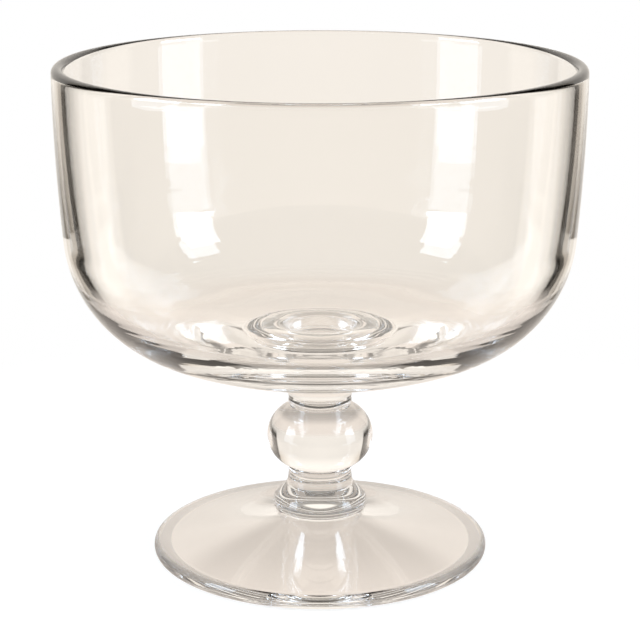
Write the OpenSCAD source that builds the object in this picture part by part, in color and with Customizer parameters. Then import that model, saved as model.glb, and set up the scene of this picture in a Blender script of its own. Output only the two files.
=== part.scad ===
// Footed trifle bowl of clear glass: a deep bowl with a barrel wall, on a stem with a ball knop
// between two collars, a round base ring and a wide foot. Every piece is turned about +Z, the foot
// rests on z = 0, and each fused seam is a flat disc where two pieces meet.

/* [Bowl] */
// Outside diameter at the rim
rim_d = 216.2; // [195:0.2:235]
// Height of the outside, from the lowest point of the base's curve on the axis to the top of the lip
bowl_h = 131; // [120:0.5:150]
// Thickness of the wall at the rim, and so the width of the round lip
wall_t = 5.2; // [3.6:0.1:6.8]
// Thickness of the floor over the hollow
floor_t = 11; // [7:0.5:15]
// Radius of the wall's barrel curve, outside
wall_out_r = 830; // [600:10:1400]
// Radius of the wall's barrel curve, inside
wall_in_r = 580; // [440:10:800]
// Radius of the round corner between wall and base, outside
corner_out_r = 55; // [45:1:65]
// Radius of the round corner between wall and floor, inside
corner_in_r = 42; // [38:1:50]
// Thickness of the glass where the inside runs along the base, between floor and corner
base_t = 8.7; // [8.5:0.1:12]
// Radius of the dished base, outside
base_out_r = 194; // [160:2:260]
// Radius of the low dome that the floor rises to, inside
floor_dome_r = 400; // [300:10:900]
// Height of the hollow round the post, above the lowest point of the base's curve on the axis
hollow_h = 12.7; // [9:0.1:14]
// Radius of the hollow's round upper edge
hollow_edge_r = 4.5; // [3:0.5:5.5]
// Diameter of the round heel between the hollow and the base
heel_d = 63; // [60:1:90]
// Radius of that heel
heel_r = 4; // [3:0.5:5]
// Radius of the flare where the post runs into the hollow's top
post_flare_r = 6; // [4:0.5:8]

/* [Stem] */
// Diameter of both collars and of the post
collar_d = 26.8; // [22:0.2:30]
// Height of the bead on each collar
bead_h = 3.7; // [2.6:0.1:4.6]
// Radius of the bead's bulge
bead_r = 4; // [3:0.1:6]
// Height of the plain band on the upper collar, the post that runs up into the hollow
upper_band_h = 15.9; // [13:0.1:20]
// Height of the flared band on the lower collar
lower_band_h = 4.9; // [3:0.1:8]
// How far the lower band flares out on each side
lower_band_flare = 1; // [0.4:0.1:2]
// Largest diameter of the ball knop
knop_d = 44.6; // [38:0.2:52]
// Height of the ball knop between its collars
knop_h = 26.4; // [20:0.2:30]

/* [Base ring] */
// Largest diameter of the base ring
ring_d = 40; // [36:0.5:48]
// Height of the base ring, from the foot to the lower collar
ring_h = 11.1; // [10:0.1:15]
// Radius of the ring's round edge
ring_edge_r = 5; // [3.6:0.1:6]
// Height of the middle of the ring's round edge above the foot
ring_edge_z = 3.4; // [2:0.1:3.5]

/* [Foot] */
// Diameter of the foot
foot_d = 142; // [120:1:160]
// Height of the foot under the base ring
foot_h = 18.1; // [14:0.1:24]
// Thickness of the foot's full-round edge
foot_edge_t = 6.1; // [4:0.1:8]
// Radius of the hollow sweep of the foot's top
foot_sweep_r = 350; // [220:10:900]
// Width of the flat ring that the foot rests on
rest_w = 5; // [3.5:0.5:7]
// Radius of the round top of the hollow that follows the sweep under the foot
foot_dome_r = 40; // [30:1:60]

/* [Hidden] */
$fa = 2;
$fs = 0.5;
GLASS = [0.93, 0.92, 0.9, 0.4];
// How far the chords of an outline may lie from its arcs
chord_gap = 0.02;

rim_r = rim_d / 2;
collar_r = collar_d / 2;
// A bead's arc, and the seam and groove at its two ends
bead_angle = asin(bead_h / 2 / bead_r);
bead_end_r = collar_r - bead_r * (1 - cos(bead_angle));
band_edge_r = collar_r - bead_end_r;
// Heights of the seams and of the bowl's underside, from the table up
ring_top = foot_h + ring_h;
lower_band_top = ring_top + lower_band_h;
knop_bottom = lower_band_top + bead_h;
knop_top = knop_bottom + knop_h;
upper_band_bottom = knop_top + bead_h;
collar_top = upper_band_bottom + upper_band_h;
// The flare touches the post at the seam, and the hollow's top, which runs parallel to the floor
flare_centre = [collar_r + post_flare_r, collar_top];
hollow_top_r = floor_dome_r - floor_t;
floor_centre = [0, collar_top - sqrt((hollow_top_r - post_flare_r) ^ 2 - flare_centre.x ^ 2)];
base_z = floor_centre.y + hollow_top_r - hollow_h;
base_centre = [0, base_z + base_out_r];
lip_r = wall_t / 2;
lip_z = base_z + bowl_h - lip_r;
// The ball's side bulges from bead to bead
knop_bulge = knop_d / 2 - bead_end_r;
knop_side_r = (knop_bulge ^ 2 + (knop_h / 2) ^ 2) / (2 * knop_bulge);
// The ring's round edge, the seam under it, and the neck that its shoulder rises to
ring_centre = [ring_d / 2 - ring_edge_r, foot_h + ring_edge_z];
ring_seam = [ring_centre.x + sqrt(ring_edge_r ^ 2 - ring_edge_z ^ 2), foot_h];
ring_neck = [collar_r + lower_band_flare, ring_top];
// The foot's round edge, and the sweep that touches it and rises to the ring's seam
foot_edge_r = foot_edge_t / 2;
foot_edge = [foot_d / 2 - foot_edge_r, foot_edge_r];
sweep_centre = meet(foot_edge, foot_sweep_r + foot_edge_r, ring_seam, foot_sweep_r);

// Unit vector at an angle, and the angle of a vector
function towards(angle) = [cos(angle), sin(angle)];
function angle_of(v) = atan2(v.y, v.x);

// The point at distances rp from p and rq from q that lies to the right of the way from p to q
function meet(p, rp, q, rq) =
    let (d = norm(q - p), u = (q - p) / d, along = (d ^ 2 + rp ^ 2 - rq ^ 2) / (2 * d))
    p + along * u + sqrt(rp ^ 2 - along ^ 2) * [u.y, -u.x];

// Points of an arc, both ends included
function arc(centre, r, from, to) =
    let (steps = max(2, ceil(abs(to - from) / (2 * acos(1 - chord_gap / r)))))
    [for (i = [0 : steps]) centre + r * towards(from + (to - from) * i / steps)];

// Stretches of an outline joined end to end: each starts at the point where the last one ended
function chain(stretches) =
    [for (i = [0 : len(stretches) - 1], j = [i == 0 ? 0 : 1 : len(stretches[i]) - 1]) stretches[i][j]];

function reverse(points) = [for (i = [len(points) - 1 : -1 : 0]) points[i]];

// Corner and wall of a cup, from the angle where its corner starts up to the rim, where the wall is
// upright
function side(wall_centre, wall_r, corner_centre, corner_r, start) =
    let (wall_start = angle_of(corner_centre - wall_centre))
    chain([
        arc(corner_centre, corner_r, start, wall_start),
        arc(wall_centre, wall_r, wall_start, 0)
    ]);

// Outline of a collar's bead, from its seam or groove at height low to the other one
function bead(low) = arc([collar_r - bead_r, low + bead_h / 2], bead_r, -bead_angle, bead_angle);

// A glass piece turned from an outline that starts and ends on the axis
module turned(stretches) {
    color(GLASS) rotate_extrude() polygon(chain(stretches));
}

module bowl() {
    // Outside: the dished base, a round corner and a barrel wall, each touching the next
    wall_out = [rim_r - wall_out_r, lip_z];
    corner_out = meet(wall_out, wall_out_r - corner_out_r, base_centre, base_out_r - corner_out_r);
    base_end = angle_of(corner_out - base_centre);
    // Inside: the domed floor falls into a round valley, runs along the base and turns up in a round
    // corner to the wall; where the rim is too narrow for that, valley and corner are one round
    wall_in = [rim_r - wall_t - wall_in_r, lip_z];
    along_r = base_out_r - base_t;
    valley = meet(floor_centre, floor_dome_r + corner_in_r, base_centre, along_r - corner_in_r);
    corner_in = meet(wall_in, wall_in_r - corner_in_r, base_centre, along_r - corner_in_r);
    along_start = angle_of(valley - base_centre);
    along_end = angle_of(corner_in - base_centre);
    one_round = meet(floor_centre, floor_dome_r + corner_in_r, wall_in, wall_in_r - corner_in_r);
    is_wide = along_start < along_end;
    floor_end = angle_of((is_wide ? valley : one_round) - floor_centre);
    inside = is_wide
        ? chain([
            arc(valley, corner_in_r, floor_end - 180, along_start),
            arc(base_centre, along_r, along_start, along_end),
            side(wall_in, wall_in_r, corner_in, corner_in_r, along_end)
        ])
        : side(wall_in, wall_in_r, one_round, corner_in_r, floor_end - 180);
    // Underneath: the hollow's upper edge runs down into the heel, and the heel touches the base
    heel = [heel_d / 2, base_centre.y - sqrt((base_out_r - heel_r) ^ 2 - (heel_d / 2) ^ 2)];
    edge = meet(heel, heel_r + hollow_edge_r, floor_centre, hollow_top_r - hollow_edge_r);
    flare_end = angle_of(flare_centre - floor_centre);
    edge_start = angle_of(edge - floor_centre);
    edge_end = angle_of(heel - edge);
    heel_end = angle_of(heel - base_centre);
    turned([
        [[0, collar_top], [collar_r, collar_top]],
        arc(flare_centre, post_flare_r, 180, flare_end),
        arc(floor_centre, hollow_top_r, flare_end, edge_start),
        arc(edge, hollow_edge_r, edge_start, edge_end),
        arc(heel, heel_r, edge_end - 180, heel_end),
        arc(base_centre, base_out_r, heel_end, base_end),
        side(wall_out, wall_out_r, corner_out, corner_out_r, base_end),
        arc([rim_r - lip_r, lip_z], lip_r, 0, 180),
        reverse(inside),
        arc(floor_centre, floor_dome_r, floor_end, 90)
    ]);
}

module upper_collar() {
    edge_centre = [bead_end_r, upper_band_bottom + band_edge_r];
    turned([
        [[0, knop_top], [bead_end_r, knop_top]],
        bead(knop_top),
        arc(edge_centre, band_edge_r, -90, 0),
        [[collar_r, edge_centre.y], [collar_r, collar_top], [0, collar_top]]
    ]);
}

module ball_knop() {
    side_centre = [knop_d / 2 - knop_side_r, (knop_bottom + knop_top) / 2];
    side_angle = angle_of([bead_end_r - side_centre.x, knop_h / 2]);
    turned([
        [[0, knop_bottom], [bead_end_r, knop_bottom]],
        arc(side_centre, knop_side_r, -side_angle, side_angle),
        [[bead_end_r, knop_top], [0, knop_top]]
    ]);
}

module lower_collar() {
    edge_centre = [bead_end_r, lower_band_top - band_edge_r];
    flare_h = edge_centre.y - ring_top;
    flare_r = (flare_h ^ 2 + lower_band_flare ^ 2) / (2 * lower_band_flare);
    turned([
        [[0, ring_top], ring_neck],
        arc([collar_r + flare_r, edge_centre.y], flare_r, 180 + asin(flare_h / flare_r), 180),
        arc(edge_centre, band_edge_r, 0, 90),
        bead(lower_band_top),
        [[bead_end_r, knop_bottom], [0, knop_bottom]]
    ]);
}

module base_ring() {
    // The shoulder is the line from the neck that touches the round edge
    to_neck = ring_neck - ring_centre;
    shoulder_angle = angle_of(to_neck) - acos(ring_edge_r / norm(to_neck));
    turned([
        [[0, foot_h], ring_seam],
        arc(ring_centre, ring_edge_r, angle_of(ring_seam - ring_centre), shoulder_angle),
        [ring_centre + ring_edge_r * towards(shoulder_angle), ring_neck, [0, ring_top]]
    ]);
}

module foot() {
    // Underneath, a hollow runs parallel to the sweep from the rest ring up to a small dome
    rest_in = [foot_edge.x - rest_w, 0];
    under_r = norm(rest_in - sweep_centre);
    dome_centre = [0, sweep_centre.y - sqrt((under_r + foot_dome_r) ^ 2 - sweep_centre.x ^ 2)];
    dome_end = angle_of(sweep_centre - dome_centre);
    sweep_start = angle_of(foot_edge - sweep_centre);
    turned([
        arc(dome_centre, foot_dome_r, 90, dome_end),
        arc(sweep_centre, under_r, dome_end - 180, angle_of(rest_in - sweep_centre)),
        [rest_in, [foot_edge.x, 0]],
        arc(foot_edge, foot_edge_r, -90, sweep_start + 180),
        arc(sweep_centre, foot_sweep_r, sweep_start, angle_of(ring_seam - sweep_centre)),
        [ring_seam, [0, foot_h]]
    ]);
}

bowl();
upper_collar();
ball_knop();
lower_collar();
base_ring();
foot();
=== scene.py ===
# %% [markdown]
# # A footed trifle bowl of clear glass
# The real bowl is six pieces of glass that were pressed or blown by themselves and fused while hot:
# a deep bowl, two collars with a ball between them, a round base ring and a wide foot. All six are
# round, so each one is an outline turned about the upright axis, as on a lathe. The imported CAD
# model says where each piece sits, and this lesson dresses that model without moving it.

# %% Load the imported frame
import math

import bpy
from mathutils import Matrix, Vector


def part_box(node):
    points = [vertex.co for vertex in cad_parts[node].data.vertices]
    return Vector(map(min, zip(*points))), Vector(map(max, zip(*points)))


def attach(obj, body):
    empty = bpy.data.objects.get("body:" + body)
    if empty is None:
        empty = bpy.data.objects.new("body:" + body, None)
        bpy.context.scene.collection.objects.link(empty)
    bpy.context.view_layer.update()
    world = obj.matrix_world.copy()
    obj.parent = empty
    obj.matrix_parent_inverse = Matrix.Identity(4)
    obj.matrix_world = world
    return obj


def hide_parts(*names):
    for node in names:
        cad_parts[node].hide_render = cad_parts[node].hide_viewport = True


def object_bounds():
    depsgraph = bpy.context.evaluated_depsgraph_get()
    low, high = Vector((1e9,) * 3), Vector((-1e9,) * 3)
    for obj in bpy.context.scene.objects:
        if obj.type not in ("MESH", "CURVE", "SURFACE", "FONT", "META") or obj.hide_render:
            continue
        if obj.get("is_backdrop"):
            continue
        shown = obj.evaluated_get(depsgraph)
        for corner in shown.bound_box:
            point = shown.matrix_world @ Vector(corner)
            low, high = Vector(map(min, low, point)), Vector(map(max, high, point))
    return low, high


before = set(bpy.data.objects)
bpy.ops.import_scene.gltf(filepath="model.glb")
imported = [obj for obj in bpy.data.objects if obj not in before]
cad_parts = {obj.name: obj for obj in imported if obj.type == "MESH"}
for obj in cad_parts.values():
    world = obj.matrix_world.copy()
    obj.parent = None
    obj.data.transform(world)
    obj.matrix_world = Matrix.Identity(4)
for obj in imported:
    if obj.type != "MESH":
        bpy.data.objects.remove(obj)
cad_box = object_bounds()
scene = bpy.context.scene
scene.view_settings.view_transform = "Standard"
print("CAD nodes:", sorted(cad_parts))

# %% [markdown]
# ## The camera
# The photograph looks a little down on the bowl from straight ahead. Its long lens was found from
# the ellipses of the rim and of the foot: a near rim that is hardly wider than the far one means a
# long lens far away. A lens matched by eye would be quicker, but then the rim and the foot wouldn't
# both fit. The camera stands on the part's own centre plane and tilts down.

# %% Set up the camera
CAMERA_PLACE = (0, -0.8166, 0.3212)
CAMERA_TILT = math.radians(15.11)
LENS_MM, SENSOR_MM = 113.85, 36
NEAREST_SEEN = 0.01

camera_data = bpy.data.cameras.new("studio_camera")
camera_data.sensor_width = SENSOR_MM
camera_data.lens = LENS_MM
camera_data.clip_start = NEAREST_SEEN
camera = bpy.data.objects.new("studio_camera", camera_data)
camera.location = CAMERA_PLACE
camera.rotation_euler = (math.pi / 2 - CAMERA_TILT, 0, 0)
scene.collection.objects.link(camera)
scene.camera = camera
print("Camera at", CAMERA_PLACE, "with a lens of", LENS_MM, "mm")

# %% [markdown]
# ## Sizes from the frame
# Seams, heights and widths are read from the boxes of the CAD nodes, so that the glass sits exactly
# where the model says. They could be typed in, but then a change to the model would leave the glass
# behind. Only what a box can't tell is written here: walls and the radii of curves.

# %% Read the sizes
MM = 0.001
box = {name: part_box(name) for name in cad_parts}


def half_width(name):
    return box[name][1].x


def low(name):
    return box[name][0].z


def high(name):
    return box[name][1].z


rim_r, collar_r = half_width("bowl"), half_width("upper_collar")
wall_t, floor_t, base_t, bowl_h = 5.2 * MM, 11 * MM, 8.7 * MM, 131 * MM
wall_out_r, wall_in_r = 830 * MM, 580 * MM
corner_out_r, corner_in_r = 55 * MM, 42 * MM
base_out_r, floor_dome_r = 194 * MM, 400 * MM
heel_ring_r, heel_r, hollow_edge_r, post_flare_r = 31.5 * MM, 4 * MM, 4.5 * MM, 6 * MM
bead_h, bead_r = 3.7 * MM, 4 * MM
ring_edge_r, ring_edge_z = 5 * MM, 3.4 * MM
foot_edge_r, foot_sweep_r = 3.05 * MM, 350 * MM
rest_w, foot_dome_r = 5 * MM, 40 * MM
print("Rim radius %.2f mm, collar radius %.2f mm" % (rim_r / MM, collar_r / MM))

# %% [markdown]
# ## Drawing an outline
# An outline is a list of points in a half plane: x is the distance from the axis, y the height.
# Glass is shaped by turning and by surface tension, so its outline is a chain of arcs that touch. A
# curve could be drawn by hand, but its arcs would only nearly touch, and glass shows every kink.

# %% Helpers for outlines
# The longest step along an arc, its sharpest turn, and how close two points count as one
STEP, TURN, SAME_POINT = 1.5 * MM, math.radians(5), 1e-7


def towards(angle):
    return Vector((math.cos(angle), math.sin(angle)))


def angle_of(v):
    return math.atan2(v.y, v.x)


def arc(centre, radius, start, end):
    sweep = end - start
    count = max(2, math.ceil(abs(sweep) * radius / STEP), math.ceil(abs(sweep) / TURN))
    return [Vector(centre) + radius * towards(start + sweep * i / count) for i in range(count + 1)]


def meet(p, p_r, q, q_r):
    """The point at p_r from p and q_r from q, to the right of the way from p to q."""
    way = q - p
    along = (way.length_squared + p_r ** 2 - q_r ** 2) / (2 * way.length)
    u = way.normalized()
    return p + along * u + math.sqrt(p_r ** 2 - along ** 2) * Vector((u.y, -u.x))


def chain(*stretches):
    points = []
    for stretch in stretches:
        for point in map(Vector, stretch):
            if not points or (point - points[-1]).length > SAME_POINT:
                points.append(point)
    return points


print("A quarter round at the corner takes", len(arc((0, 0), corner_out_r, 0, math.pi / 2)), "points")

# %% [markdown]
# ## The lathe
# One Geometry Nodes tree turns every piece. It sweeps the outline round a tiny circle, the arbor,
# welds the points that meet on the axis and keeps hard creases hard. The flat discs where two pieces
# are fused, and the flat ring that the foot rests on, are found by their height and get finishes of
# their own. A Screw modifier could turn the outline too, but then the discs, the ring and the creases
# would need a second tool.

# %% Sweep an outline round the arbor
ARBOR, WELD, CREASE = 1 * MM, 2e-6, math.radians(20)


def new_node(tree, kind, inputs=None, **settings):
    """Adds a node, sets its properties, and sets or links its inputs."""
    node = tree.nodes.new(kind)
    for name, value in settings.items():
        setattr(node, name, value)
    for key, value in (inputs or {}).items():
        if isinstance(value, bpy.types.NodeSocket):
            tree.links.new(value, node.inputs[key])
        else:
            node.inputs[key].default_value = value
    return node


def swept(tree, wire, facets):
    """Sweeps a wire round the arbor, welds the axis and keeps hard creases hard."""
    outline = new_node(tree, "GeometryNodeMeshToCurve", {"Mesh": wire})
    arbor = new_node(tree, "GeometryNodeCurvePrimitiveCircle", {"Resolution": facets, "Radius": ARBOR})
    turned = new_node(
        tree, "GeometryNodeCurveToMesh",
        {"Curve": arbor.outputs["Curve"], "Profile Curve": outline.outputs["Curve"]},
    )
    welded = new_node(
        tree, "GeometryNodeMergeByDistance", {"Geometry": turned.outputs["Mesh"], "Distance": WELD}
    )
    smooth = new_node(
        tree, "GeometryNodeSetShadeSmooth", {"Geometry": welded.outputs["Geometry"]}, domain="FACE"
    )
    bend = new_node(tree, "GeometryNodeInputMeshEdgeAngle")
    crease = new_node(
        tree, "FunctionNodeCompare", {0: bend.outputs["Unsigned Angle"], 1: CREASE},
        data_type="FLOAT", operation="GREATER_THAN",
    )
    return new_node(
        tree, "GeometryNodeSetShadeSmooth",
        {
            "Geometry": smooth.outputs["Geometry"], "Selection": crease.outputs["Result"],
            "Shade Smooth": False,
        },
        domain="EDGE",
    ).outputs["Geometry"]


print("Arbor radius %.0f mm, creases from %.0f degrees" % (ARBOR / MM, math.degrees(CREASE)))

# %% Build the lathe tree
LATHE_SOCKETS = {
    "Outline": "Geometry", "Facets Around": "Int", "Lower Seam": "Float", "Upper Seam": "Float",
    "Glass": "Material", "Fused Disc": "Material", "Ground Ring": "Material",
}
REST_Z, SEAM_SLACK = 0.0, 1e-6


def lathe_tree():
    tree = bpy.data.node_groups.new("turn_on_the_axis", "GeometryNodeTree")
    for name, kind in LATHE_SOCKETS.items():
        tree.interface.new_socket(name, in_out="INPUT", socket_type="NodeSocket" + kind)
    tree.interface.new_socket("Piece", in_out="OUTPUT", socket_type="NodeSocketGeometry")
    given = tree.nodes.new("NodeGroupInput").outputs
    shape = swept(tree, given["Outline"], given["Facets Around"])
    place = tree.nodes.new("GeometryNodeInputPosition").outputs[0]
    height = new_node(tree, "ShaderNodeSeparateXYZ", {0: place}).outputs["Z"]
    at_lower, at_upper, at_rest = (
        new_node(
            tree, "FunctionNodeCompare", {0: height, 1: level, "Epsilon": SEAM_SLACK},
            data_type="FLOAT", operation="EQUAL",
        ).outputs["Result"]
        for level in (given["Lower Seam"], given["Upper Seam"], REST_Z)
    )
    at_seam = new_node(tree, "FunctionNodeBooleanMath", {0: at_lower, 1: at_upper}, operation="OR")
    piece = new_node(tree, "GeometryNodeRealizeInstances", {"Geometry": shape})
    for finish, faces in (
        ("Glass", True), ("Fused Disc", at_seam.outputs["Boolean"]), ("Ground Ring", at_rest),
    ):
        piece = new_node(
            tree, "GeometryNodeSetMaterial",
            {"Geometry": piece.outputs["Geometry"], "Selection": faces, "Material": given[finish]},
        )
    new_node(tree, "NodeGroupOutput", {"Piece": piece.outputs["Geometry"]})
    return tree


LATHE = lathe_tree()
LATHE_INPUT = {s.name: s.identifier for s in LATHE.interface.items_tree if s.in_out == "INPUT"}
print("Lathe inputs:", LATHE_INPUT)

# %% [markdown]
# ## The glass
# Clear glass shows what is behind and around it, so its own colour is close to white, with a little
# warmth. Its detail is in the surface. Hot glass that is turned keeps faint rings, which break up the
# dark streaks at the round corner of the bowl, while the fire-polished wall above is nearly calm. A
# noise in one dimension, measured outwards and upwards from the axis, gives such rings to a Bump
# node; waves in the mesh would need far more faces. The ring that the foot rests on is ground flat,
# so that glass is rough.

# %% Choose the glass
CLEAR, GLASS_IOR, GROUND_ROUGH = (0.99, 0.985, 0.975), 1.51, 0.35
RINGS_PER_M, RING_DETAIL = 140, 1.0
BOWL_RIPPLE, STEM_RIPPLE, FOOT_RIPPLE = 0.05 * MM, 0.004 * MM, 0.006 * MM
# The heights between which the wall calms down, and the share of its ripple that stays
WALL_CALM, CALM_SHARE = (0.12, 0.15), 0.1


def maths(tree, operation, *values):
    return new_node(tree, "ShaderNodeMath", dict(enumerate(values)), operation=operation).outputs[0]


def ease(tree, value, start, end, first=0, last=1):
    """Goes smoothly from first to last while the value goes from start to end."""
    return new_node(
        tree, "ShaderNodeMapRange",
        {"Value": value, "From Min": start, "From Max": end, "To Min": first, "To Max": last},
        interpolation_type="SMOOTHSTEP",
    ).outputs[0]


print("Rings about every %.1f mm" % (1 / RINGS_PER_M / MM))


# %% Make the glass
def glass(name, ripple, calm=None, rough=0.0):
    """Clear glass with faint rings from turning, which calm down between two heights if given."""
    material = bpy.data.materials.new(name)
    material.use_nodes = True
    tree = material.node_tree
    shader = tree.nodes["Principled BSDF"].inputs
    shader["Base Color"].default_value = (*CLEAR, 1)
    shader["Transmission Weight"].default_value = 1
    shader["IOR"].default_value = GLASS_IOR
    shader["Roughness"].default_value = rough
    place = tree.nodes.new("ShaderNodeTexCoord").outputs["Object"]
    flat = new_node(tree, "ShaderNodeVectorMath", {0: place, 1: (1, 1, 0)}, operation="MULTIPLY")
    out = new_node(tree, "ShaderNodeVectorMath", {0: flat.outputs[0]}, operation="LENGTH")
    height = new_node(tree, "ShaderNodeSeparateXYZ", {0: place}).outputs["Z"]
    along = maths(tree, "ADD", out.outputs["Value"], height)
    rings = new_node(
        tree, "ShaderNodeTexNoise", {"W": along, "Scale": RINGS_PER_M, "Detail": RING_DETAIL},
        noise_dimensions="1D",
    ).outputs[0]
    if calm:
        rings = maths(tree, "MULTIPLY", rings, ease(tree, height, *calm, 1, CALM_SHARE))
    rippled = new_node(tree, "ShaderNodeBump", {"Height": rings, "Distance": ripple, "Strength": 1})
    tree.links.new(rippled.outputs[0], shader["Normal"])
    return material


def fused_disc():
    material = bpy.data.materials.new("fused_disc")
    material.use_nodes = True
    nodes = material.node_tree.nodes
    nodes.remove(nodes["Principled BSDF"])
    clear = nodes.new("ShaderNodeBsdfTransparent")
    material.node_tree.links.new(clear.outputs[0], nodes["Material Output"].inputs["Surface"])
    return material


bowl_glass = glass("clear_bowl_glass", BOWL_RIPPLE, WALL_CALM)
stem_glass = glass("clear_stem_glass", STEM_RIPPLE)
foot_glass = glass("clear_foot_glass", FOOT_RIPPLE)
ground_glass = glass("ground_ring_glass", FOOT_RIPPLE, rough=GROUND_ROUGH)
seam_disc = fused_disc()
print("Finishes:", [m.name for m in (bowl_glass, stem_glass, foot_glass, ground_glass, seam_disc)])

# %% [markdown]
# ## From outline to piece
# On the real bowl every piece is worked by turning, so here one helper turns them all. The outline
# is a thin wire, the lathe tree turns it, and the result is kept as a plain mesh, because an exported
# model holds no modifiers. Each piece takes the place of its CAD node, which is hidden but stays in
# the scene. Where two pieces are fused the glass runs through and no surface shows, so the flat
# discs there are transparent. One mesh for all the glass would need no discs, but then the pieces
# couldn't be told apart.

# %% Turn a piece
NO_SEAM, ML = -1.0, 1e-6


def turn(node, outline, facets, material, lower=NO_SEAM, upper=NO_SEAM):
    """Turns an outline into the glass piece that stands for a CAD node, fused at two heights."""
    name = "turned_" + node
    wire = bpy.data.meshes.new(name)
    wire.from_pydata(
        [(p.x - ARBOR, -p.y, 0) for p in reversed(outline)],
        [(i, i + 1) for i in range(len(outline) - 1)], [],
    )
    piece = bpy.data.objects.new(name, wire)
    scene.collection.objects.link(piece)
    lathe = piece.modifiers.new("lathe", "NODES")
    lathe.node_group = LATHE
    for socket, value in (
        ("Facets Around", facets), ("Lower Seam", lower), ("Upper Seam", upper), ("Glass", material),
        ("Fused Disc", seam_disc), ("Ground Ring", ground_glass),
    ):
        lathe[LATHE_INPUT[socket]] = value
    turned = piece.evaluated_get(bpy.context.evaluated_depsgraph_get())
    solid = bpy.data.meshes.new_from_object(turned)
    piece.modifiers.remove(lathe)
    piece.data = solid
    solid.name = name
    bpy.data.meshes.remove(wire)
    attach(piece, "root")
    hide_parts(node)
    volume = sum(f.area * f.normal.dot(f.center) / 3 for f in solid.polygons)
    print("%-22s %6d faces, volume %.1f ml" % (name, len(solid.polygons), volume / ML))
    for index, finish in enumerate(solid.materials):
        levels = [f.center.z / MM for f in solid.polygons if f.material_index == index]
        if levels:
            print("  %s from %.2f to %.2f mm" % (finish.name, min(levels), max(levels)))


print(len(box), "pieces to turn")

# %% [markdown]
# ## The bowl
# A trifle bowl is deep and nearly straight, so that the layers of the dessert show from the side. The
# outside is a dished base, a round corner and a slightly barrelled wall. The inside follows it and
# ends in a floor that rises to a low dome, over the hollow in the base where the post is fused on.
# The lip is round, as a flame leaves it. A cut sphere with an even wall would be quicker, but how
# thick the glass is at each place draws its dark lines, so both sides are drawn arc by arc.

# %% Draw the underside of the bowl
collar_top = high("upper_collar")
lip_r = wall_t / 2
lip_z = high("bowl") - lip_r
base_centre = Vector((0, high("bowl") - bowl_h + base_out_r))
flare_centre = Vector((collar_r + post_flare_r, collar_top))
hollow_top_r = floor_dome_r - floor_t
floor_drop = math.sqrt((hollow_top_r - post_flare_r) ** 2 - flare_centre.x ** 2)
floor_centre = Vector((0, collar_top - floor_drop))
heel_drop = math.sqrt((base_out_r - heel_r) ** 2 - heel_ring_r ** 2)
heel = Vector((heel_ring_r, base_centre.y - heel_drop))
hollow_edge = meet(heel, heel_r + hollow_edge_r, floor_centre, hollow_top_r - hollow_edge_r)
flare_end, edge_start = angle_of(flare_centre - floor_centre), angle_of(hollow_edge - floor_centre)
edge_end, heel_end = angle_of(heel - hollow_edge), angle_of(heel - base_centre)
underside = chain(
    [(0, collar_top), (collar_r, collar_top)],
    arc(flare_centre, post_flare_r, math.pi, flare_end),
    arc(floor_centre, hollow_top_r, flare_end, edge_start),
    arc(hollow_edge, hollow_edge_r, edge_start, edge_end),
    arc(heel, heel_r, edge_end - math.pi, heel_end),
)
print("Hollow up to %.2f mm" % ((floor_centre.y + hollow_top_r) / MM))

# %% Draw the outside of the bowl
wall_out = Vector((rim_r - wall_out_r, lip_z))
corner_out = meet(wall_out, wall_out_r - corner_out_r, base_centre, base_out_r - corner_out_r)
base_end, wall_out_start = angle_of(corner_out - base_centre), angle_of(corner_out - wall_out)
outside = chain(
    arc(base_centre, base_out_r, heel_end, base_end),
    arc(corner_out, corner_out_r, base_end, wall_out_start),
    arc(wall_out, wall_out_r, wall_out_start, 0),
)
print("Round corner from %.2f to %.2f mm" % (
    (base_centre.y + base_out_r * math.sin(base_end)) / MM,
    (wall_out.y + wall_out_r * math.sin(wall_out_start)) / MM,
))

# %% Draw the inside of the bowl
wall_in = Vector((rim_r - wall_t - wall_in_r, lip_z))
along_r = base_out_r - base_t
corner_in = meet(wall_in, wall_in_r - corner_in_r, base_centre, along_r - corner_in_r)
valley = meet(floor_centre, floor_dome_r + corner_in_r, base_centre, along_r - corner_in_r)
wall_in_start, along_start = angle_of(corner_in - wall_in), angle_of(corner_in - base_centre)
along_end, floor_end = angle_of(valley - base_centre), angle_of(valley - floor_centre)
inside = chain(
    arc(wall_in, wall_in_r, 0, wall_in_start),
    arc(corner_in, corner_in_r, wall_in_start, along_start),
    arc(base_centre, along_r, along_start, along_end),
    arc(valley, corner_in_r, along_end, floor_end - math.pi),
    arc(floor_centre, floor_dome_r, floor_end, math.pi / 2),
)
print("Floor up to %.2f mm" % ((floor_centre.y + floor_dome_r) / MM))

# %% Turn the bowl
BOWL_FACETS = 224
lip = arc((rim_r - lip_r, lip_z), lip_r, 0, math.pi)
bowl_outline = chain(underside, outside, lip, inside)
turn("bowl", bowl_outline, BOWL_FACETS, bowl_glass, lower=collar_top)

# %% [markdown]
# ## The stem
# The stem is a solid ball between two collars. Each collar is a bead beside the ball and a plain band,
# with a groove between them, and the lower band flares where it was pressed on to the base ring. One
# outline could draw the whole stem, but on the real one each part is a gather of glass that is fused
# to the next, so each has an outline of its own. The ring lines where they meet are real grooves.

# %% Turn the upper collar
COLLAR_FACETS, KNOP_FACETS = 128, 160
bead_angle = math.asin(bead_h / 2 / bead_r)
bead_end_r = collar_r - bead_r * (1 - math.cos(bead_angle))
band_edge_r = collar_r - bead_end_r
knop_top, knop_bottom = high("ball_knop"), low("ball_knop")


def bead(lowest):
    return arc((collar_r - bead_r, lowest + bead_h / 2), bead_r, -bead_angle, bead_angle)


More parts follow.
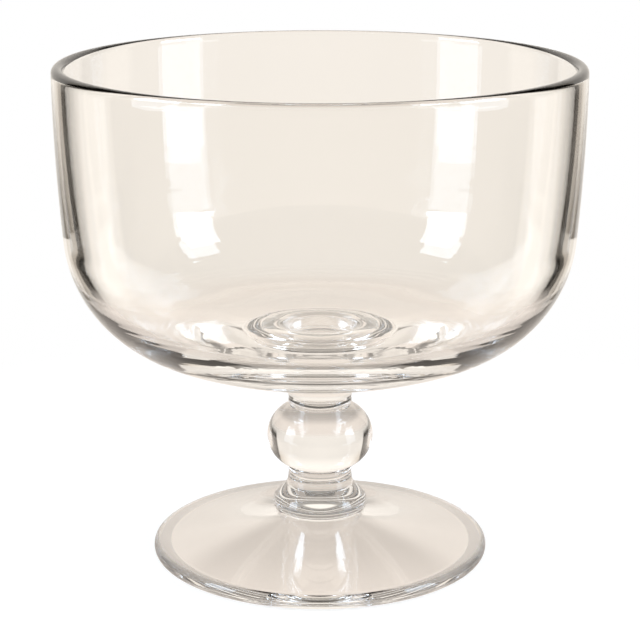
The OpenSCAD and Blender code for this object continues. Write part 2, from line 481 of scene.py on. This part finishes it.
upper_edge = Vector((bead_end_r, knop_top + bead_h + band_edge_r))
upper_outline = chain(
    [(0, knop_top), (bead_end_r, knop_top)], bead(knop_top),
    arc(upper_edge, band_edge_r, -math.pi / 2, 0),
    [(collar_r, collar_top), (0, collar_top)],
)
turn("upper_collar", upper_outline, COLLAR_FACETS, stem_glass, knop_top, collar_top)

# %% Turn the ball
knop_r, knop_h = half_width("ball_knop"), knop_top - knop_bottom
knop_bulge = knop_r - bead_end_r
side_r = (knop_bulge ** 2 + (knop_h / 2) ** 2) / (2 * knop_bulge)
side_centre = Vector((knop_r - side_r, (knop_bottom + knop_top) / 2))
side_angle = angle_of(Vector((bead_end_r - side_centre.x, knop_h / 2)))
knop_outline = chain(
    [(0, knop_bottom), (bead_end_r, knop_bottom)],
    arc(side_centre, side_r, -side_angle, side_angle),
    [(bead_end_r, knop_top), (0, knop_top)],
)
turn("ball_knop", knop_outline, KNOP_FACETS, stem_glass, knop_bottom, knop_top)
print("Ball of %.2f mm radius at its side" % (side_r / MM))

# %% Turn the lower collar
ring_top = high("base_ring")
flare = half_width("lower_collar") - collar_r
lower_edge = Vector((bead_end_r, knop_bottom - bead_h - band_edge_r))
flare_h = lower_edge.y - ring_top
flare_r = (flare_h ** 2 + flare ** 2) / (2 * flare)
flare_start = math.pi + math.asin(flare_h / flare_r)
lower_outline = chain(
    [(0, ring_top), (collar_r + flare, ring_top)],
    arc((collar_r + flare_r, lower_edge.y), flare_r, flare_start, math.pi),
    arc(lower_edge, band_edge_r, 0, math.pi / 2),
    bead(knop_bottom - bead_h),
    [(bead_end_r, knop_bottom), (0, knop_bottom)],
)
turn("lower_collar", lower_outline, COLLAR_FACETS, stem_glass, ring_top, knop_bottom)

# %% [markdown]
# ## The base ring
# A button of glass with a round edge joins the stem to the foot. Its shoulder slopes from the neck
# down to the edge and touches it without a crease. A Bevel modifier could round the edge of a plain
# cone, but the point of touch follows from a right angle, the one between a tangent and its radius,
# so the outline is drawn exactly.

# %% Turn the base ring
foot_h = high("foot")
ring_centre = Vector((half_width("base_ring") - ring_edge_r, foot_h + ring_edge_z))
ring_seam = Vector((ring_centre.x + math.sqrt(ring_edge_r ** 2 - ring_edge_z ** 2), foot_h))
ring_neck = Vector((collar_r + flare, ring_top))
to_neck = ring_neck - ring_centre
shoulder_angle = angle_of(to_neck) - math.acos(ring_edge_r / to_neck.length)
ring_outline = chain(
    [(0, foot_h), ring_seam],
    arc(ring_centre, ring_edge_r, angle_of(ring_seam - ring_centre), shoulder_angle),
    [ring_neck, (0, ring_top)],
)
turn("base_ring", ring_outline, KNOP_FACETS, stem_glass, foot_h, ring_top)

# %% [markdown]
# ## The foot
# The foot is a wide plate with a full-round edge, swept up to the base ring. Underneath it is hollow
# and follows the top, so that the table shows plainly through it, and it rests on a narrow ring that
# is ground flat. A solid foot would be simpler to draw, but it would bend light like a lens and go
# dark, which the real one doesn't.

# %% Turn the foot
foot_edge = Vector((half_width("foot") - foot_edge_r, foot_edge_r))
sweep_centre = meet(foot_edge, foot_sweep_r + foot_edge_r, ring_seam, foot_sweep_r)
sweep_start = angle_of(foot_edge - sweep_centre)
rest_in = Vector((foot_edge.x - rest_w, 0))
under_r = (rest_in - sweep_centre).length
under_end = angle_of(rest_in - sweep_centre) % (2 * math.pi)
dome_z = sweep_centre.y - math.sqrt((under_r + foot_dome_r) ** 2 - sweep_centre.x ** 2)
dome_centre = Vector((0, dome_z))
dome_end = angle_of(sweep_centre - dome_centre)
foot_outline = chain(
    arc(dome_centre, foot_dome_r, math.pi / 2, dome_end),
    arc(sweep_centre, under_r, dome_end + math.pi, under_end),
    [rest_in, (foot_edge.x, 0)],
    arc(foot_edge, foot_edge_r, -math.pi / 2, sweep_start + math.pi),
    arc(sweep_centre, foot_sweep_r, sweep_start, angle_of(ring_seam - sweep_centre)),
    [ring_seam, (0, foot_h)],
)
turn("foot", foot_outline, BOWL_FACETS, foot_glass, upper=foot_h)
print("Foot %.2f mm thick" % ((under_r - foot_sweep_r) / MM))

# %% [markdown]
# ## The table
# The bowl stands on plain pale paper. A little of its white is matt, which takes the bowl's shadow,
# and the rest is a soft glow that makes it white to the camera. Glass sees the same paper warmer, and
# a shade lower round the foot and behind the stem, where the bowl shades it. A large plane would do
# too, but its edge would show in the glass as a line, so this is a disc that fades away at its rim.

# %% Choose the paper
TABLE_R, TABLE_FADE = 0.34, 0.2
# Colour, matt share and glow of the paper, as glass sees it and as the camera sees it
GLASS_PAPER, GLASS_MATT, GLASS_GLOW = (1, 0.9, 0.81), 0.06, 0.87
CAMERA_PAPER, CAMERA_MATT, CAMERA_GLOW = (1, 1, 1), 0.28, 0.82
# How much glow the shade takes, and the metres outwards, backwards or aside over which it comes or goes
FOOT_SHADE, FOOT_OUT, FOOT_BACK = 0.16, (0.075, 0.13), (-0.07, 0)
STEM_SHADE, STEM_BACK, STEM_END, STEM_ASIDE = 0.27, (0.03, 0.07), (0.1, 0.15), (0.03, 0.07)


def tinted(level, tint):
    return (*(level * c for c in tint), 1)


def paper(tree, tint, matt, glow):
    dull = new_node(tree, "ShaderNodeBsdfDiffuse", {"Color": tinted(matt, tint)})
    lit = new_node(tree, "ShaderNodeEmission", {"Color": tinted(1, tint), "Strength": glow})
    return new_node(tree, "ShaderNodeAddShader", {0: dull.outputs[0], 1: lit.outputs[0]}).outputs[0]


print("Paper is full up to %.0f mm and gone at %.0f mm" % (TABLE_FADE / MM, TABLE_R / MM))


# %% Mix the table's finish
def shaded_glow(tree, place, away):
    """The paper's glow as glass sees it, lower round the foot and behind the stem."""
    at = new_node(tree, "ShaderNodeSeparateXYZ", {0: place}).outputs
    foot_out, foot_back = ease(tree, away, *FOOT_OUT, 1, 0), ease(tree, at["Y"], *FOOT_BACK, 0, FOOT_SHADE)
    stem_back, stem_end = ease(tree, at["Y"], *STEM_BACK), ease(tree, at["Y"], *STEM_END, STEM_SHADE, 0)
    stem_aside = ease(tree, maths(tree, "ABSOLUTE", at["X"]), *STEM_ASIDE, 1, 0)
    round_foot = maths(tree, "MULTIPLY", foot_out, foot_back)
    behind_stem = maths(tree, "MULTIPLY", maths(tree, "MULTIPLY", stem_back, stem_end), stem_aside)
    return maths(tree, "SUBTRACT", GLASS_GLOW, maths(tree, "ADD", round_foot, behind_stem))


def mix(tree, share, first, second):
    return new_node(tree, "ShaderNodeMixShader", {0: share, 1: first, 2: second}).outputs[0]


def table_material():
    material = bpy.data.materials.new("pale_table")
    material.use_nodes = True
    tree = material.node_tree
    tree.nodes.clear()
    seen_plainly = tree.nodes.new("ShaderNodeLightPath").outputs["Is Camera Ray"]
    place = tree.nodes.new("ShaderNodeTexCoord").outputs["Object"]
    away = new_node(tree, "ShaderNodeVectorMath", {0: place}, operation="LENGTH").outputs["Value"]
    in_glass = paper(tree, GLASS_PAPER, GLASS_MATT, shaded_glow(tree, place, away))
    on_camera = paper(tree, CAMERA_PAPER, CAMERA_MATT, CAMERA_GLOW)
    clear = tree.nodes.new("ShaderNodeBsdfTransparent").outputs[0]
    top = mix(tree, seen_plainly, in_glass, on_camera)
    faded = mix(tree, ease(tree, away, TABLE_FADE, TABLE_R), top, clear)
    new_node(tree, "ShaderNodeOutputMaterial", {"Surface": faded})
    return material


pale_table = table_material()
print("Table finish of", len(pale_table.node_tree.nodes), "nodes")

# %% Lay the table
TABLE_SIDES, TABLE_GAP = 128, 0.3 * MM
table_rim = [TABLE_R * towards(2 * math.pi * i / TABLE_SIDES) for i in range(TABLE_SIDES)]
table_mesh = bpy.data.meshes.new("table")
table_mesh.from_pydata([(*p, -TABLE_GAP) for p in table_rim], [], [range(TABLE_SIDES)])
table = bpy.data.objects.new("table", table_mesh)
table_mesh.materials.append(pale_table)
scene.collection.objects.link(table)
table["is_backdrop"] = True
print("Table %.0f mm across" % (2 * TABLE_R / MM))

# %% [markdown]
# ## The softboxes
# The strips down the wall and the windows on the ball are mirror images of softboxes at both sides.
# The front wall and the back wall mirror different parts of them, and the image is brighter where
# the two lie on each other, so each side gets a middle box, a high one that leans to the backdrop and
# a low one. A mirror image depends on directions alone, so the boxes are given by angles as seen from
# the bowl. Glowing planes could stand in for lamps, but lamps are easier to keep out of the view.

# %% Hang the softboxes
# Each pair: degrees away from the backdrop, width, lowest and highest view and lean in degrees, glow
BOX_AWAY, MID_Z = 3.0, 0.17
BOX_PAIRS = {
    "softbox": (109, 23.5, -8.6, 14.5, 0, 2.5),
    "high_softbox": (101.5, 24, 13, 49.5, 18.9, 7),
    "low_softbox": (122, 17.5, -12.5, -8.6, 0, 2.2),
}
DAYLIGHT = (0.7, 0.83, 1.0)


def hang(name, turn_deg, wide_deg, low_deg, high_deg, lean_deg, glow):
    wide = 2 * BOX_AWAY * math.tan(math.radians(wide_deg / 2))
    low_z, high_z = (BOX_AWAY * math.tan(math.radians(d)) for d in (low_deg, high_deg))
    lamp = bpy.data.lights.new(name, "AREA")
    lamp.shape = "RECTANGLE"
    lamp.size, lamp.size_y = wide, high_z - low_z
    lamp.energy = glow * math.pi * wide * (high_z - low_z)
    lamp.color = DAYLIGHT
    softbox = bpy.data.objects.new(name, lamp)
    angle = math.radians(turn_deg)
    softbox.location = (
        BOX_AWAY * math.sin(angle), BOX_AWAY * math.cos(angle), MID_Z + (low_z + high_z) / 2
    )
    lean = math.copysign(math.radians(lean_deg), angle)
    softbox.rotation_euler = (math.pi / 2, lean, math.pi - angle)
    softbox.visible_camera = False
    scene.collection.objects.link(softbox)
    print("%-18s %.2f m wide, %.2f m high" % (name, lamp.size, lamp.size_y))


for pair, (turn_deg, *rest) in BOX_PAIRS.items():
    for side, side_name in ((-1, "left_"), (1, "right_")):
        hang(side_name + pair, side * turn_deg, *rest)

# %% [markdown]
# ## The studio
# Clear glass is drawn by what stands round it: a pale warm backdrop behind, dark cards at the sides
# that give the edges their dark lines, and a dim room above. The world paints these by direction, in
# zones from the floor up. Light that was mirrored inside the glass meets the cards, and so does light
# that climbs. Light that goes straight through, level or downwards, would show a whole card behind the
# bowl in a view from the side, so it sees an open backdrop, and so does light through many faces. An
# image of a studio could light the bowl too, but then the cards couldn't be placed line by line. The
# camera itself sees plain white.

# %% Choose what the glass sees
WARM, BROWN, PLAIN = (1.0, 0.94, 0.865), (1.0, 0.88, 0.74), (1.0, 1.0, 1.0)
# The even light on what isn't glass
FILL, FILL_TINT = 0.6, (1, 0.98, 0.95)
# What the glass sees, from the floor up: the climb in degrees over which a zone takes over, then its
# levels from the backdrop at 0 degrees round to the camera's side at 180
ZONES = (
    ((-90, -89), (
        (0, 0.98, WARM), (23, 0.98, WARM), (26, 0.6, BROWN), (32.2, 0.55, BROWN), (33.4, 0.02, BROWN),
        (48, 0.02, BROWN), (51, 0.5, BROWN), (57, 0.6, WARM), (60, 1.3, WARM), (66, 1.5, WARM),
        (78, 1.5, WARM), (80, 0.4, WARM), (180, 0.5, WARM),
    )),
    ((-9, -6), (
        (0, 0.98, WARM), (45, 0.9, WARM), (47, 0.02, BROWN), (72, 0.02, BROWN), (76, 0.15, BROWN),
        (180, 0.25, WARM),
    )),
    ((13, 20), (
        (0, 1.15, WARM), (30, 1.15, WARM), (44, 0.8, BROWN), (47, 0.02, BROWN), (72, 0.02, BROWN),
        (76, 0.15, WARM), (180, 0.15, WARM),
    )),
    ((28, 34), (
        (0, 0.4, WARM), (25, 0.4, WARM), (31, 0.25, BROWN), (34, 0.02, BROWN), (48, 0.02, BROWN),
        (56, 0.06, BROWN), (180, 0.06, WARM),
    )),
    ((50, 64), ((0, 0.05, WARM), (180, 0.05, WARM))),
)
# Straight light meets the cards above this climb in degrees, and an open backdrop below it, which falls
# off to the sides like this
CARDS_FROM = (-7, -1)
OPEN_FALL = ((0, 1, PLAIN), (23, 1, PLAIN), (42, 0.86, PLAIN), (70, 0.86, PLAIN), (110, 0.92, PLAIN))
# Light is straight under the first count of mirrorings, and past many faces over the second count
ONE_MIRRORING, MANY_FACES = 0.5, 4.5
print(len(ZONES), "zones from the floor to the ceiling")


# %% Paint the zones
def ramp(tree, share, stops):
    """The colours of a zone by their share of the way from the backdrop to the camera's side."""
    node = new_node(tree, "ShaderNodeValToRGB", {0: share})
    elements = node.color_ramp.elements
    while len(elements) < len(stops):
        elements.new(1)
    for element, (degrees, level, tint) in zip(elements, stops):
        element.position = degrees / 180
        element.color = tinted(level, tint)
    return node.outputs["Color"]


def climb(tree, rise, start, end):
    """How far a direction has climbed from one angle in degrees to another, from 0 to 1."""
    start_z, end_z = (math.sin(math.radians(d)) for d in (start, end))
    return new_node(
        tree, "ShaderNodeMapRange", {"Value": rise, "From Min": start_z, "From Max": end_z}
    ).outputs[0]


def blend(tree, factor, below, above, how="MIX"):
    return new_node(
        tree, "ShaderNodeMix", {"Factor": factor, "A": below, "B": above}, data_type="RGBA",
        blend_type=how,
    ).outputs["Result"]


def studio_pictures(tree, share, rise):
    """The studio with its cards, and the open backdrop without them."""
    with_cards = without_cards = (0, 0, 0, 1)
    for (start, end), stops in ZONES:
        climbed = climb(tree, rise, start, end)
        with_cards = blend(tree, climbed, with_cards, ramp(tree, share, stops))
        without_cards = blend(tree, climbed, without_cards, tinted(*stops[0][1:]))
    return with_cards, blend(tree, 1.0, without_cards, ramp(tree, share, OPEN_FALL), "MULTIPLY")


print(sum(len(stops) for _, stops in ZONES), "stops in the zones")


# %% Paint the world
def background(tree, colour, strength):
    return new_node(tree, "ShaderNodeBackground", {"Color": colour, "Strength": strength}).outputs[0]


def studio_world():
    world = bpy.data.worlds.new("studio")
    world.use_nodes = True
    tree = world.node_tree
    tree.nodes.clear()
    path = tree.nodes.new("ShaderNodeLightPath").outputs
    direction = tree.nodes.new("ShaderNodeTexCoord").outputs["Generated"]
    way = new_node(tree, "ShaderNodeSeparateXYZ", {0: direction}).outputs
    aside = maths(tree, "ABSOLUTE", maths(tree, "ARCTAN2", way["X"], way["Y"]))
    share = maths(tree, "MULTIPLY", aside, 1 / math.pi)
    with_cards, without_cards = studio_pictures(tree, share, way["Z"])
    straight = maths(tree, "LESS_THAN", path["Glossy Depth"], ONE_MIRRORING)
    level_or_down = maths(tree, "SUBTRACT", 1, climb(tree, way["Z"], *CARDS_FROM))
    through_many = maths(tree, "GREATER_THAN", path["Transmission Depth"], MANY_FACES)
    no_cards = maths(tree, "MAXIMUM", maths(tree, "MULTIPLY", straight, level_or_down), through_many)
    seen_in_glass = background(tree, blend(tree, no_cards, with_cards, without_cards), 1)
    fill = background(tree, tinted(1, FILL_TINT), FILL)
    white = background(tree, tinted(1, PLAIN), 1)
    in_glass = maths(tree, "MAXIMUM", path["Is Glossy Ray"], path["Is Transmission Ray"])
    shown = mix(tree, path["Is Camera Ray"], mix(tree, in_glass, fill, seen_in_glass), white)
    new_node(tree, "ShaderNodeOutputWorld", {"Surface": shown})
    return world


scene.world = studio_world()
print("World of", len(scene.world.node_tree.nodes), "nodes")

# %% [markdown]
# ## Light through many layers
# A ray that crosses the bowl meets four faces of glass, and one through the floor or the stem meets
# many more. Each face takes one bounce, and a ray that runs out of bounces ends black. A thin-walled
# shader would save them, but it wouldn't bend light, so the limits go up instead.

# %% Let light pass through many layers of glass
scene.cycles.max_bounces = 32
scene.cycles.transmission_bounces = 32
scene.cycles.glossy_bounces = 16
scene.cycles.transparent_max_bounces = 64
scene.cycles.use_denoising = True
print("Up to", scene.cycles.max_bounces, "bounces")

# %% [markdown]
# ## Sizes and the end
# The glass stays inside the CAD model's box, because other people build with that size.

# %% Write the sizes and finish
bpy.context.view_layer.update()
for name, corners in (("CAD", cad_box), ("Glass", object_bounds())):
    print(name, "box in mm:", *(["%.2f" % (v / MM) for v in corner] for corner in corners))
